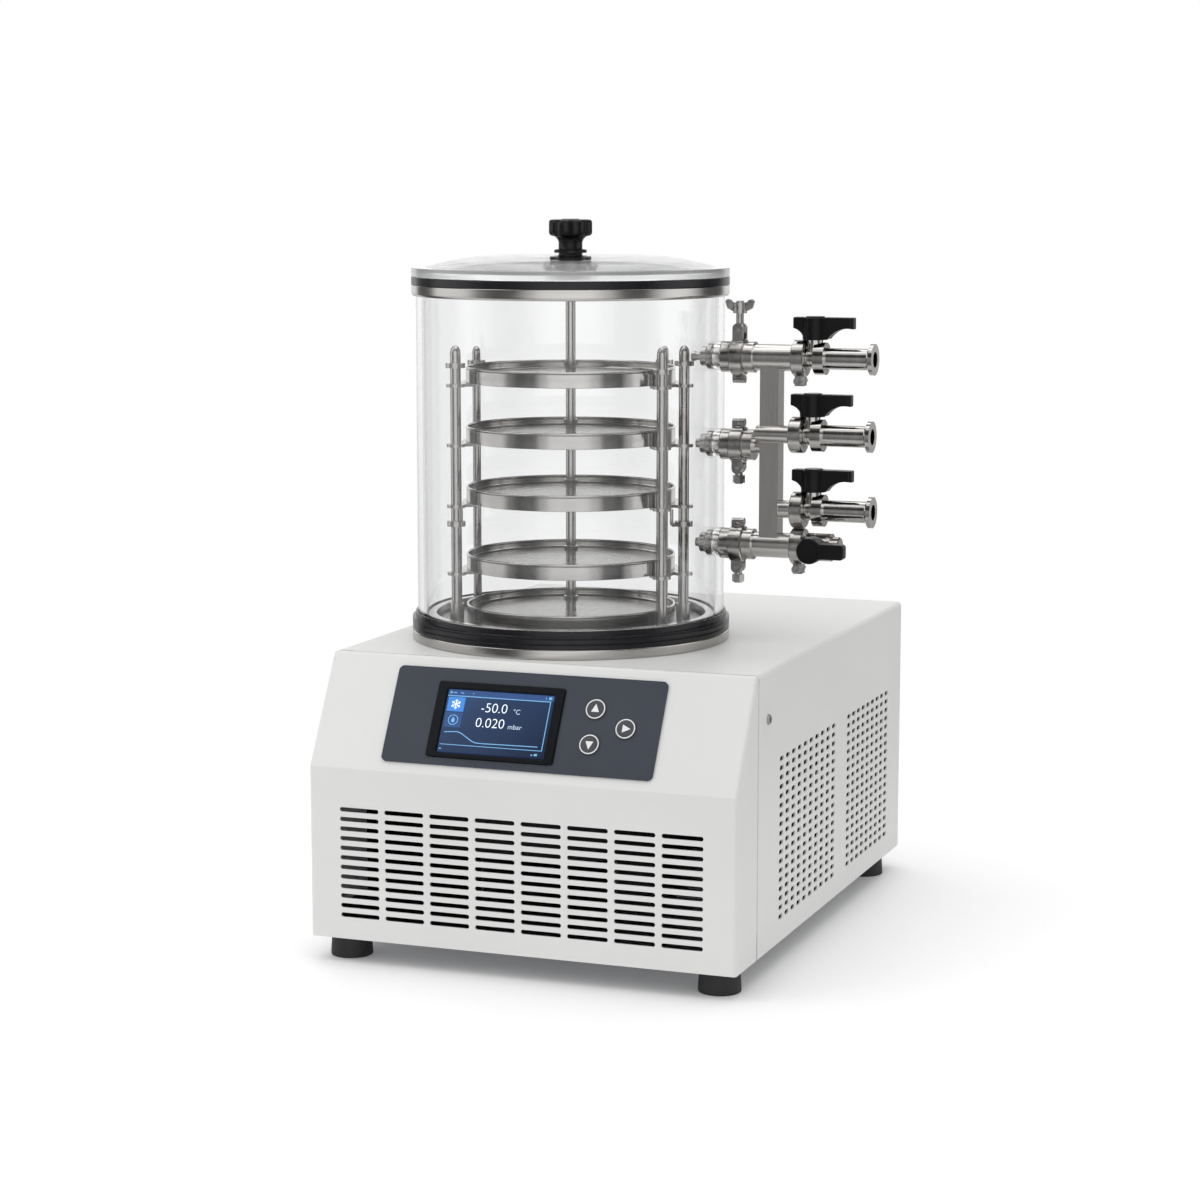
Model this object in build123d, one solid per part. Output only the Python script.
from build123d import *
import os
from math import cos, sin, tan, radians, degrees, atan2, hypot, sqrt

# Bench-top freeze dryer: a sheet steel cabinet that holds the refrigeration and the cold trap,
# and a clear drying chamber on top with a five-tray rack and a four-valve flask manifold.
# Millimetres.  While modelling, X runs from the cabinet's left side, Y from its lower front
# face towards the back and Z from the bench.  save() then moves every piece so that the origin
# lies on the bench, under the middle of the whole object.

# ---- cabinet ----
SHEET = 1.5
CAB_W = 413.4
CAB_D = 555.4
CAB_BOTTOM = 23.0
CAB_TOP = 282.1
FOLD_Z = 183.2              # where the upright front turns into the sloping control face
CREST_Y = 55.8              # top edge of the sloping face
CREST_R = 4.5               # folded edges of the cover
FOLD_R = 3.0                # folded edges of the front panel
FOLD_ROOM = 3.2             # room that pieces inside leave for the folded edges
SEAM_Y = 60.9               # joint between front panel and cover
SEAM_GAP = 3.0
TAB_REACH = 38.0            # joggled tab of the front panel, behind the cover
PAN_LIP = 15.0
RETURN = 14.0               # width of the cover's return flange at the back
FOOT_R_LOW = 19.7
FOOT_R_TOP = 18.3
FOOT_X = 25.5
FOOT_Y_FRONT = 32.8
FOOT_Y_BACK = CAB_D - 44.1
FOOT_STUD_R = 3.95
FOOT_STUD_H = 5.0
FOOT_HOLE_R = 4.05
SCREW_R = 2.0
SCREW_HEAD_R = 4.6
SCREW_HEAD_H = 2.2
SIDE_SCREW_Y = 89.7
SIDE_SCREW_Z = CAB_TOP - 44.2
SCREW_FIT = 0.05            # radial gap between a screw and its tapped hole
SLOPE_LEAN = degrees(atan2(CAB_TOP - FOLD_Z, CREST_Y))
SLOPE_LENGTH = hypot(CAB_TOP - FOLD_Z, CREST_Y)

# ---- mains connection on the rear panel ----
INLET_X = 345.0
INLET_Z = 215.0
SWITCH_X = 300.0

# ---- vents ----
FRONT_VENT_COLUMNS = 8
FRONT_VENT_ROWS = 12
FRONT_VENT_W = 39.0
FRONT_VENT_H = 4.2
FRONT_VENT_PITCH_X = 44.76
FRONT_VENT_PITCH_Z = 9.02
FRONT_VENT_LOW = 45.6
SIDE_VENT_W = 12.0
SIDE_VENT_H = 4.5
SIDE_VENT_ROWS = 18
SIDE_VENT_PITCH_Z = 8.71
SIDE_VENT_LOW = 46.5
SIDE_FIELDS = [(132.5, 18.9, 10), (356.5, 17.5, 9)]     # first column, pitch, columns

# ---- control face: x across, s up the slope from the fold, h out of the face ----
PLATE_X = (70.7, 333.2)
PLATE_S = (10.0, 103.0)
PLATE_T = 2.0
BEZEL_X = (114.0, 238.1)
BEZEL_S = (17.2, 89.8)
BEZEL_T = 2.2
SCREEN_X = (123.9, 228.7)
SCREEN_S = (21.3, 83.0)
MODULE_MARGIN = 4.0
MODULE_DEPTH = 9.0
BUTTON_R = 9.75
BUTTON_RISE = 1.6
BUTTON_TRAVEL = 1.0
BUTTON_FIT = 0.08
BUTTONS = {"up": (269.4, 72.5), "right": (300.8, 55.9), "down": (269.4, 39.0)}
BOARD_DEPTH = 13.0
BOARD_T = 1.6

# ---- chamber ----
CX = 172.8
CY = 221.2
RING_R = 152.2
RING_TOP = CAB_TOP + 9.4
HUB_R = 137.0
WELL_R = 129.0
HUB_TOP = CAB_TOP + 25.9
GASKET_TOP = RING_TOP + 11.6
GASKET_LIP_TOP = RING_TOP + 16.9
GASKET_LIP_R = 149.0
GASKET_GROOVES = [(3.9, 0.9), (9.1, 0.7)]      # height over the ring, depth
CYL_R = 147.0
CYL_WALL = 8.0
CYL_SEAT = RING_TOP + 5.0
CYL_H = 315.5
CYL_TOP = CYL_SEAT + CYL_H
SEAT_FIT = 0.15                 # room between the cylinder and the rings that hold it
TOP_RING_R = 150.9
TOP_RING_LOW = CYL_TOP - 3.5
TOP_RING_TOP = CYL_TOP + 6.7
LID_LOW = TOP_RING_TOP + 7.5
LID_RIM_TOP = LID_LOW + 8.9
LID_DOME_TOP = LID_RIM_TOP + 14.3
LID_DOME_R = 141.0
LID_DOME_POWER = 3.3
LID_UNDER = LID_LOW + 8.2
LID_RECESS_R = 117.5
GLAND_R = 15.6
GLAND_SHANK_R = 12.0
GLAND_SEAT = LID_LOW + 12.3
GLAND_TOP = GLAND_SEAT + 5.6
GLAND_FIT = 0.1
KNOB_GAP = 0.3
KNOB_LOBES = 8
KNOB_LOBE_R = 5.7
KNOB_LOBE_H = 14.5

# ---- cold trap ----
TRAP_R = 126.0
TRAP_WALL = 1.5
TRAP_FLOOR = 115.0
COIL_TUBE_R = 4.5
COIL_R = 132.3
COIL_LOW = 125.0
COIL_TURNS = 9
COIL_PITCH = 11.2
FOAM_R = 150.0
FOAM_LOW = 93.5
FOAM_TOP = CAB_TOP - 4.1
PUMP_Z = CAB_TOP - 32.1
PUMP_TUBE_R = 14.0
PUMP_BORE_R = 12.5
PUMP_END = CAB_D + 32.0

# ---- rack ----
RACK_TURN = radians(20.65)      # the rack stands turned by this angle in the chamber
TRAY_R = 100.0
TRAY_H = 15.0
TRAY_DEPTH = 8.0
TRAY_T = 1.2
TRAY_RIMS = [CAB_TOP + rise for rise in (259.8, 203.5, 146.0, 81.8, 33.4)]
TRAY_ROOM = 0.8                 # room between a tray's rim and the posts' collars
ROD_R = 4.75
ROD_TOP = LID_UNDER - 5.4
ROD_FIT = 0.1
RACK_TOP = CAB_TOP + 18.4
RACK_T = 3.0
RACK_R = 125.0
RACK_HOLES = [(35.0, 6, 10.0), (72.0, 12, 13.0)]     # circle, number, hole radius
HOOK_DROP = 17.6                # hook clamps below the third ledge
HOOK_WIRE_R = 1.7
LEDGE_T = 3.0
LEDGE_IN = 93.0
LEDGE_OUT = 104.0
EYE_R = 8.5
POSTS = {                       # side, away, radius, then top and collar above the top tray
    "A": (-107.0, -36.0, 4.9, 21.1, 2.1),
    "B": (-93.5, 60.0, 4.1, 15.1, -0.9),
    "C": (84.5, -65.0, 4.9, 21.1, -1.9),
    "D": (106.0, -36.0, 4.9, 21.1, 4.1),
    "E": (92.0, 65.0, 4.1, 15.1, -0.9),
}

# ---- manifold: everything lies in the plane through the chamber's axis ----
PORT_Z = [CAB_TOP + rise for rise in (271.4, 189.9, 96.6)]
VALVE_Z = [PORT_Z[0], CAB_TOP + 200.9, CAB_TOP + 130.7, PORT_Z[2]]
PORT_CLAMP_X = 341.6
PORT_CLAMP_W = 12.8
PORT_NEAR_X = 326.4
PORT_FAR_X = 357.2
VALVE_CLAMP_X = 401.0
VALVE_CLAMP_W = 12.0
SHOULDER_R = 14.5
FLANGE_R = 15.0
FLANGE_T = 2.7
FLANGE_BORE = 8.0
RING_T = 1.0                    # centring ring between two flanges
NIPPLE_R = 9.0
NIPPLE_TIPS = [293.4, 297.8, 297.8]
SPIGOT_R = [3.8, 3.3, 3.3]
NIPPLE_TAIL = 129.5             # end of the nipple's thread, from the chamber's axis
PORT_NUT_R = 12.0
PORT_NUT_T = 4.0
NECK_R = 10.6
CLAMP_R = 17.0
CLAMP_FIT = 0.15
CLAMP_SPLIT = 0.8
HEADER_X = 373.3
HEADER_W = 18.0
HEADER_LOW = PORT_Z[2]
HEADER_TOP = PORT_Z[0]
HEADER_WALL = 2.0
TOP_TUBE_R = 12.4
LOW_TUBE_R = 11.75
STUB_R = 8.3
VALVE2_PROUD = -6.0             # valve 2's stub crosses the header in front of its middle
STEM_X = 414.5
DISC_X = (415.7, 425.7)
DISC_R = 15.0
OUTLET_R = 10.0
OUTLET_BORE = 7.3
OUTLET_END = 471.8
OUTLET_LIP = 4.7
OUTLET_LIP_R = 14.5
STEM_R = 5.0
STEM_FIT = 0.08
BONNET_R = 7.4
BONNET_TOP = CLAMP_R
HUB_GAP = 0.4
FORK_IN = 3.9                   # a port clamp's fork: two cheeks either side of the bolt's eye
FORK_OUT = 7.4
FORK_W = 10.0
HINGE_R = 3.6
PIN_R = 1.8
PORT_FORKS = [(1, 31.5, 25.0), (-1, 27.4, 22.0), (-1, 27.4, 22.0)]   # way, reach, pin height
SWING_R = 3.6
SWING_ENDS = [52.0, 37.0, 37.0]
WING_LOW = PORT_Z[0] + 40.5
WING_TOP = WING_LOW + 13.0
EAR_REACH = 25.5
EAR_BOLT = 20.8
VALVE_CLAMP_TURNS = [0.0, 90.0, 90.0, 0.0]
PLUG_BORE = 3.4
PLUG_LOW = 6.5
BARREL_X = (410.0, 433.0)
BARREL_R = 13.0
BLANK_END = 441.0
LOW_STEM_X = 421.0
LEVER_TOP = 38.0
LEVER_LOW = 27.5
LEVER_W = 14.0
LEVER_REACH = 37.5
LEVER_TAIL = 20.0
LOW_LEVER_REACH = 33.0
LOW_LEVER_TAIL = 10.5
HUB_R_LEVER = 11.8

# ---- refrigeration ----
COMP_X = 110.0
COMP_Y = CAB_D - 90.4
COMP_R = 60.0
COMP_TOP = 190.0
PAN_TOP = CAB_BOTTOM + SHEET
SUCTION_X = CX - 40.0
FEED_X = CX + 40.0
COIL_HIGH = COIL_LOW + (COIL_TURNS - 1) * COIL_PITCH
STUB_END_Y = CY + FOAM_R + 4.0
SUCTION_R = 4.8
PIPE_R = 3.2
COND_X = (385.0, 407.0)
COND_Y = (CAB_D - 193.4, CAB_D - 63.4)
COND_Z = (50.0, 190.0)
COND_IN_Z = 180.0
COND_OUT_Z = 60.0
FAN_Y = (COND_Y[0] + COND_Y[1]) / 2
FAN_Z = 120.0
FAN_R = 52.0
SHROUD_X = (370.0, 385.0)
DRIER_X = (240.0, 300.0)
DRIER_Y = CAB_D - 35.4
DRIER_Z = 60.0

OUT_DIR = "parts"
X_MIN = -SCREW_HEAD_H
ORIGIN = Vector((X_MIN + OUTLET_END) / 2, PUMP_END / 2, 0)


def box(x0, x1, y0, y1, z0, z1):
    """Block between two opposite corners."""
    middle = Pos((x0 + x1) / 2, (y0 + y1) / 2, (z0 + z1) / 2)
    return middle * Box(x1 - x0, y1 - y0, z1 - z0)


def rod_x(x0, x1, y, z, r):
    """Cylinder that lies along X."""
    return Pos((x0 + x1) / 2, y, z) * Rot(0, 90, 0) * Cylinder(r, x1 - x0)


def rod_y(x, y0, y1, z, r):
    """Cylinder that lies along Y."""
    return Pos(x, (y0 + y1) / 2, z) * Rot(90, 0, 0) * Cylinder(r, y1 - y0)


def rod_z(x, y, z0, z1, r):
    """Upright cylinder."""
    return Pos(x, y, (z0 + z1) / 2) * Cylinder(r, z1 - z0)


def turned(points):
    """Solid turned about the chamber's axis from (radius, height) points."""
    outline = Polyline(*[(r, 0, z) for r, z in points], close=True)
    return Pos(CX, CY, 0) * revolve(make_face(outline), Axis.Z)


def turned_x(points, y, z):
    """Solid turned about an axis along X from (x, radius) points."""
    outline = Polyline(*[(x, 0, r) for x, r in points], close=True)
    return Pos(0, y, z) * revolve(make_face(outline), Axis.X)


def prism_x(points, x0, x1):
    """Solid pushed along X from a (y, z) outline."""
    outline = Polyline(*[(x0, y, z) for y, z in points], close=True)
    return extrude(make_face(outline), amount=x1 - x0, dir=(1, 0, 0))


def joined(pieces):
    """All pieces fused into one."""
    first, *rest = pieces
    return first.fuse(*rest)


def save(name, shape):
    """Write one sub-part, moved to the object's own origin."""
    solids = shape.solids()
    whole = solids[0] if len(solids) == 1 else Compound(children=list(solids))
    export_step(whole.moved(Location(-ORIGIN)), os.path.join(OUT_DIR, name + ".step"))


SLOPE = Plane(
    origin=(0, 0, FOLD_Z),
    x_dir=(1, 0, 0),
    z_dir=(0, -sin(radians(SLOPE_LEAN)), cos(radians(SLOPE_LEAN))),
)


def on_slope(shape):
    """Place a shape given as (x, s, h) on the sloping control face."""
    return SLOPE.location * shape


def slope_block(xs, ss, h0, h1, corner=0.0):
    """Rounded plate on the control face between two heights."""
    size = (xs[1] - xs[0], ss[1] - ss[0])
    outline = RectangleRounded(*size, corner) if corner else Rectangle(*size)
    plate = extrude(Pos((xs[0] + xs[1]) / 2, (ss[0] + ss[1]) / 2, h0) * outline, amount=h1 - h0)
    return on_slope(plate)


def slope_rod(x, s, h0, h1, r):
    """Cylinder that stands square on the control face."""
    return on_slope(Pos(x, s, (h0 + h1) / 2) * Cylinder(r, h1 - h0))


# ---- cabinet pieces ----
def front_outline(inset, back, low):
    """Side outline of the front panel, moved inwards by the inset."""
    fold_drop = inset * tan(radians((90 - SLOPE_LEAN) / 2))
    crest_shift = inset * tan(radians(SLOPE_LEAN / 2))
    return [
        (inset, low),
        (inset, FOLD_Z - fold_drop),
        (CREST_Y + crest_shift, CAB_TOP - inset),
        (back, CAB_TOP - inset),
        (back, low),
    ]


def front_vents():
    """Cutter for the grid of slots in the upright front."""
    slot = Rot(90, 0, 0) * extrude(SlotOverall(FRONT_VENT_W, FRONT_VENT_H), amount=6, both=True)
    low_x = CAB_W / 2 - FRONT_VENT_PITCH_X * (FRONT_VENT_COLUMNS - 1) / 2
    cutters = []
    for column in range(FRONT_VENT_COLUMNS):
        for row in range(FRONT_VENT_ROWS):
            x = low_x + column * FRONT_VENT_PITCH_X
            z = FRONT_VENT_LOW + row * FRONT_VENT_PITCH_Z
            cutters.append(Pos(x, 0, z) * slot)
    return cutters


def side_screw_places():
    """(sign, x of the sheet's outer face) of the screw on either side."""
    return [(-1, 0.0), (1, CAB_W)]


def is_fold(edge):
    """Whether an edge of the front's outer block is a fold of the sheet."""
    middle = edge @ 0.5
    across = middle.Y < CREST_Y + 1 and middle.Z > CAB_BOTTOM + 1
    side = middle.X < 1 or middle.X > CAB_W - 1
    return across or (side and middle.Z > CAB_TOP - 1)


def front_panel():
    """Folded front with its cheeks and the joggled tabs that carry the cover."""
    back = SEAM_Y - SEAM_GAP / 2
    shell = prism_x(front_outline(0, back, CAB_BOTTOM), 0, CAB_W)
    folds = [edge for edge in shell.edges() if is_fold(edge)]
    shell = fillet(folds, FOLD_R)
    shell -= prism_x(front_outline(SHEET, back + 1, CAB_BOTTOM - 1), SHEET, CAB_W - SHEET)
    tab_low = CAB_BOTTOM + SHEET + PAN_LIP + 5
    tab_y = (back - 8, SEAM_Y + TAB_REACH)
    left_tab = box(SHEET, 2 * SHEET, *tab_y, tab_low, CAB_TOP - 4 * SHEET)
    right_tab = box(CAB_W - 2 * SHEET, CAB_W - SHEET, *tab_y, tab_low, CAB_TOP - 4 * SHEET)
    top_tab = box(20, CAB_W - 20, back - 3, SEAM_Y + 6, CAB_TOP - 2 * SHEET, CAB_TOP - SHEET)
    panel = joined([shell, left_tab, right_tab, top_tab])
    panel = panel.cut(*front_vents())
    margin = MODULE_MARGIN + 0.5
    window = slope_block(
        (SCREEN_X[0] - margin, SCREEN_X[1] + margin),
        (SCREEN_S[0] - margin, SCREEN_S[1] + margin), -8, 1)
    panel -= window
    for x, s in BUTTONS.values():
        panel -= slope_rod(x, s, -8, 1, BUTTON_R + BUTTON_FIT)
    for sign, face in side_screw_places():
        hole_r = SCREW_R + SCREW_FIT
        panel -= rod_x(face - 8, face + 8, SIDE_SCREW_Y, SIDE_SCREW_Z, hole_r)
    standoffs = [
        slope_rod(x, s, -BOARD_DEPTH, -SHEET + 0.2, 3.2)
        for x in (100, 320) for s in (24, 92)
    ]
    return joined([panel] + standoffs)


def rounded_hood(inset):
    """Body of the cover with its folded edges rounded, moved inwards by the inset."""
    front = SEAM_Y + SEAM_GAP / 2
    block = box(inset, CAB_W - inset, front - 5 * inset, CAB_D - inset,
                CAB_BOTTOM - 5 * inset, CAB_TOP - inset)
    radius = CREST_R - inset
    top = block.faces().sort_by(Axis.Z)[-1]
    along = top.edges().filter_by(Axis.Y)
    back = block.faces().sort_by(Axis.Y)[-1]
    rear = back.edges().filter_by(Axis.Z) + back.edges().sort_by(Axis.Z)[-1:]
    return fillet(list(along) + list(rear), radius)


def side_vents():
    """Cutters for the perforated fields in both sides of the cover."""
    slot = Plane.YZ * extrude(SlotOverall(SIDE_VENT_W, SIDE_VENT_H), amount=5, both=True)
    cutters = []
    for first, pitch, columns in SIDE_FIELDS:
        for column in range(columns):
            for row in range(SIDE_VENT_ROWS):
                y = first + column * pitch
                z = SIDE_VENT_LOW + row * SIDE_VENT_PITCH_Z
                cutters.append(Pos(0, y, z) * slot)
                cutters.append(Pos(CAB_W, y, z) * slot)
    return cutters


def rear_screw_places():
    """(x, z) of the screws that hold the rear panel to the cover's return flange."""
    return [(x, z) for x in (RETURN / 2 + 1, CAB_W - RETURN / 2 - 1) for z in (60.0, 245.0)]


def cabinet_cover():
    """Top and both sides folded from one sheet, with a return flange round the back."""
    hood = rounded_hood(0) - rounded_hood(SHEET)
    hood -= box(RETURN, CAB_W - RETURN, CAB_D - 10, CAB_D + 5, CAB_BOTTOM - 5, CAB_TOP - RETURN)
    hood -= rod_z(CX, CY, CAB_TOP - 10, CAB_TOP + 5, FOAM_R - 11.5)
    for sign, face in side_screw_places():
        hood -= rod_x(face - 4, face + 4, SIDE_SCREW_Y, SIDE_SCREW_Z, SCREW_R + SCREW_FIT)
    for x, z in rear_screw_places():
        hood -= rod_y(x, CAB_D - 5, CAB_D + 5, z, SCREW_R + SCREW_FIT)
    return hood.cut(*side_vents())


def foot_places():
    """(x, y) of the four feet."""
    return [
        (x, y)
        for x in (FOOT_X, CAB_W - FOOT_X)
        for y in (FOOT_Y_FRONT, FOOT_Y_BACK)
    ]


def base_pan():
    """Floor sheet with a lip folded up on all four sides."""
    x0 = SHEET
    x1 = CAB_W - SHEET
    y0 = SHEET
    y1 = CAB_D - 2 * SHEET
    z1 = CAB_BOTTOM + SHEET
    pan = box(x0, x1, y0, y1, CAB_BOTTOM, z1 + PAN_LIP)
    pan -= box(x0 + SHEET, x1 - SHEET, y0 + SHEET, y1 - SHEET, z1, z1 + PAN_LIP + 1)
    slot = extrude(SlotOverall(60, 5), amount=5, both=True)
    for row in range(8):
        pan -= Pos(300, 230 + row * 12, CAB_BOTTOM) * slot
    for x, y in foot_places():
        pan -= rod_z(x, y, CAB_BOTTOM - 1, z1 + 1, FOOT_HOLE_R)
    corner = FOLD_ROOM
    pan -= box(x0 - 1, x0 + corner, y1 - corner, y1 + 1, CAB_BOTTOM - 1, z1 + PAN_LIP + 1)
    pan -= box(x1 - corner, x1 + 1, y1 - corner, y1 + 1, CAB_BOTTOM - 1, z1 + PAN_LIP + 1)
    return pan


def rear_panel():
    """Back sheet inside the cover's return flange, with outlet slots and cut-outs."""
    y1 = CAB_D - SHEET
    y0 = y1 - SHEET
    side = SHEET + FOLD_ROOM
    panel = box(side, CAB_W - side, y0, y1, CAB_BOTTOM + 0.5, CAB_TOP - side)
    slot = Rot(90, 0, 0) * extrude(SlotOverall(40, 5), amount=5, both=True)
    for column in range(3):
        for row in range(10):
            panel -= Pos(230 + column * 50, y1, 60 + row * 10) * slot
    panel -= rod_y(CX, y0 - 1, y1 + 1, PUMP_Z, PUMP_TUBE_R + 0.3)
    panel -= box(INLET_X - 13.6, INLET_X + 13.6, y0 - 1, y1 + 1, INLET_Z - 10, INLET_Z + 10)
    panel -= box(SWITCH_X - 10, SWITCH_X + 10, y0 - 1, y1 + 1, INLET_Z - 11, INLET_Z + 11)
    for x, z in rear_screw_places():
        panel -= rod_y(x, y0 - 1, y1 + 1, z, SCREW_R + SCREW_FIT)
    return panel


def pan_screw():
    """Pan-head screw along +Z with its head's seat at zero."""
    head = Cylinder(SCREW_HEAD_R, SCREW_HEAD_H, align=(Align.CENTER, Align.CENTER, Align.MIN))
    head = fillet(head.edges().sort_by(Axis.Z)[-1], 1.2)
    cross = Pos(0, 0, SCREW_HEAD_H) * (Box(4.2, 0.9, 2.2) + Box(0.9, 4.2, 2.2))
    shank = Pos(0, 0, -6) * Cylinder(SCREW_R, 6, align=(Align.CENTER, Align.CENTER, Align.MIN))
    return (head + shank) - cross


def cover_screws():
    """Two side screws and four rear screws, all alike."""
    screw = pan_screw()
    screws = [
        Pos(face, SIDE_SCREW_Y, SIDE_SCREW_Z) * Rot(0, 90 * sign, 0) * screw
        for sign, face in side_screw_places()
    ]
    screws += [Pos(x, CAB_D, z) * Rot(-90, 0, 0) * screw for x, z in rear_screw_places()]
    return Compound(children=screws)


def feet():
    """Four tapered rubber feet, each with a stud up through the base pan."""
    foot = Cone(FOOT_R_LOW, FOOT_R_TOP, CAB_BOTTOM, align=(Align.CENTER, Align.CENTER, Align.MIN))
    foot = fillet(foot.edges().sort_by(Axis.Z)[0], 1.5)
    foot += rod_z(0, 0, CAB_BOTTOM - 1, CAB_BOTTOM + SHEET + FOOT_STUD_H, FOOT_STUD_R)
    return Compound(children=[Pos(x, y, 0) * foot for x, y in foot_places()])


# ---- control face ----
def panel_plate():
    """Dark overlay plate with the window and three button holes."""
    plate = slope_block(PLATE_X, PLATE_S, 0, PLATE_T, 5)
    margin = MODULE_MARGIN + 0.5
    plate -= slope_block(
        (SCREEN_X[0] - margin, SCREEN_X[1] + margin),
        (SCREEN_S[0] - margin, SCREEN_S[1] + margin), -1, PLATE_T + 1)
    for x, s in BUTTONS.values():
        plate -= slope_rod(x, s, -1, PLATE_T + 1, BUTTON_R + BUTTON_FIT)
    return plate


def display_bezel():
    """Raised frame round the screen."""
    frame = slope_block(BEZEL_X, BEZEL_S, PLATE_T, PLATE_T + BEZEL_T, 2.5)
    return frame - slope_block(SCREEN_X, SCREEN_S, PLATE_T - 1, PLATE_T + BEZEL_T + 1, 1.0)


def display_module():
    """Screen with its housing, let into the panel behind the bezel."""
    xs = (SCREEN_X[0] - MODULE_MARGIN, SCREEN_X[1] + MODULE_MARGIN)
    ss = (SCREEN_S[0] - MODULE_MARGIN, SCREEN_S[1] + MODULE_MARGIN)
    body = slope_block(xs, ss, PLATE_T - MODULE_DEPTH, PLATE_T)
    plug = slope_block((150, 200), (35, 45), -BOARD_DEPTH, PLATE_T - MODULE_DEPTH + 0.5)
    return body + plug


def button(name):
    """Round key: cap, retaining flange behind the panel and the plunger for its switch."""
    x, s = BUTTONS[name]
    behind = -SHEET - 0.3
    cap = slope_rod(x, s, behind - 0.5, PLATE_T + BUTTON_RISE, BUTTON_R)
    flange = slope_rod(x, s, behind - 1.5, behind, BUTTON_R + 1.5)
    plunger = slope_rod(x, s, -BOARD_DEPTH + 4.5 + BUTTON_TRAVEL + 0.2, behind - 1, 2.5)
    return joined([cap, flange, plunger])


def control_board():
    """Circuit board on the front panel's standoffs, with key switches and parts."""
    board = slope_block((90, 330), (16, 100), -BOARD_DEPTH - BOARD_T, -BOARD_DEPTH)
    parts = [board]
    for x, s in BUTTONS.values():
        switch = slope_block((x - 3, x + 3), (s - 3, s + 3), -BOARD_DEPTH - 0.2, -BOARD_DEPTH + 3.5)
        stem = slope_rod(x, s, -BOARD_DEPTH, -BOARD_DEPTH + 4.5, 1.7)
        parts += [switch, stem]
    back = -BOARD_DEPTH - BOARD_T
    parts.append(slope_block((110, 140), (30, 42), back - 5, back + 0.2))
    parts.append(slope_block((170, 184), (30, 44), back - 2.5, back + 0.2))
    parts.append(slope_block((230, 290), (22, 30), back - 6, back + 0.2))
    return joined(parts)


# ---- mains ----
def power_inlet():
    """Mains inlet: flanged body let into the rear panel, with a recess and three pins."""
    face = CAB_D - SHEET
    body = box(INLET_X - 13.5, INLET_X + 13.5, face - 22, face + 1, INLET_Z - 9.9, INLET_Z + 9.9)
    flange = box(INLET_X - 24, INLET_X + 24, face, face + 3, INLET_Z - 11.5, INLET_Z + 11.5)
    body = body + flange
    body -= box(INLET_X - 11.8, INLET_X + 11.8, face - 14, face + 4, INLET_Z - 8, INLET_Z + 8)
    for x, z in ((-7, -2), (0, 2), (7, -2)):
        body += box(INLET_X + x - 1, INLET_X + x + 1, face - 15, face, INLET_Z + z - 2, INLET_Z + z + 2)
    return body


def switch_housing():
    """Frame of the mains switch, clipped into the rear panel."""
    face = CAB_D - SHEET
    shell = box(SWITCH_X - 9.8, SWITCH_X + 9.8, face - 18, face + 1, INLET_Z - 10.8, INLET_Z + 10.8)
    rim = box(SWITCH_X - 12, SWITCH_X + 12, face, face + 2.5, INLET_Z - 13, INLET_Z + 13)
    shell = shell + rim
    shell -= box(SWITCH_X - 7.5, SWITCH_X + 7.5, face - 14, face + 3, INLET_Z - 9.5, INLET_Z + 9.5)
    for side in (-1, 1):
        x = SWITCH_X + side * 8.5
        shell -= rod_x(x - 1.6, x + 1.6, face - 3, INLET_Z, 1.55)
    return shell


def power_switch():
    """Rocker on a cross pin, with one end pressed in."""
    face = CAB_D - SHEET
    profile = [
        (face - 7, INLET_Z - 7.5),
        (face + 1.0, INLET_Z - 8.2),
        (face - 0.5, INLET_Z),
        (face + 3.5, INLET_Z + 8.2),
        (face - 5, INLET_Z + 7.5),
        (face - 8, INLET_Z),
    ]
    rocker = prism_x(profile, SWITCH_X - 7.0, SWITCH_X + 7.0)
    return rocker + rod_x(SWITCH_X - 9.0, SWITCH_X + 9.0, face - 3, INLET_Z, 1.5)


# ---- refrigeration ----
def compressor():
    """Hermetic compressor can on its mounting plate, with rubber mounts and pipe stubs."""
    points = [
        (0, PAN_TOP + 10), (COMP_R - 8, PAN_TOP + 10), (COMP_R - 2, PAN_TOP + 16),
        (COMP_R - 2, 96), (COMP_R, 98), (COMP_R, 106), (COMP_R - 2, 108),
        (COMP_R - 2, 158), (COMP_R - 12, 178), (COMP_R - 32, COMP_TOP - 3), (0, COMP_TOP),
    ]
    outline = Polyline(*[(r, 0, z) for r, z in points], close=True)
    can = Pos(COMP_X, COMP_Y, 0) * revolve(make_face(outline), Axis.Z)
    plate = box(COMP_X - 72, COMP_X + 72, COMP_Y - 30, COMP_Y + 30, PAN_TOP + 8, PAN_TOP + 11)
    mounts = [
        rod_z(COMP_X + x, COMP_Y + y, PAN_TOP, PAN_TOP + 8.5, 9)
        for x in (-60, 60) for y in (-20, 20)
    ]
    suction = rod_z(SUCTION_X, COMP_Y, COMP_TOP - 25, COMP_TOP + 10, SUCTION_R + 1)
    discharge = rod_x(COMP_X + COMP_R - 10, COMP_X + COMP_R + 20, COMP_Y, 80, PIPE_R + 1)
    terminals = box(COMP_X - 22, COMP_X + 22, COMP_Y - COMP_R - 14, COMP_Y - COMP_R + 12, 110, 150)
    return joined([can, plate, suction, discharge, terminals] + mounts)


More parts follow.
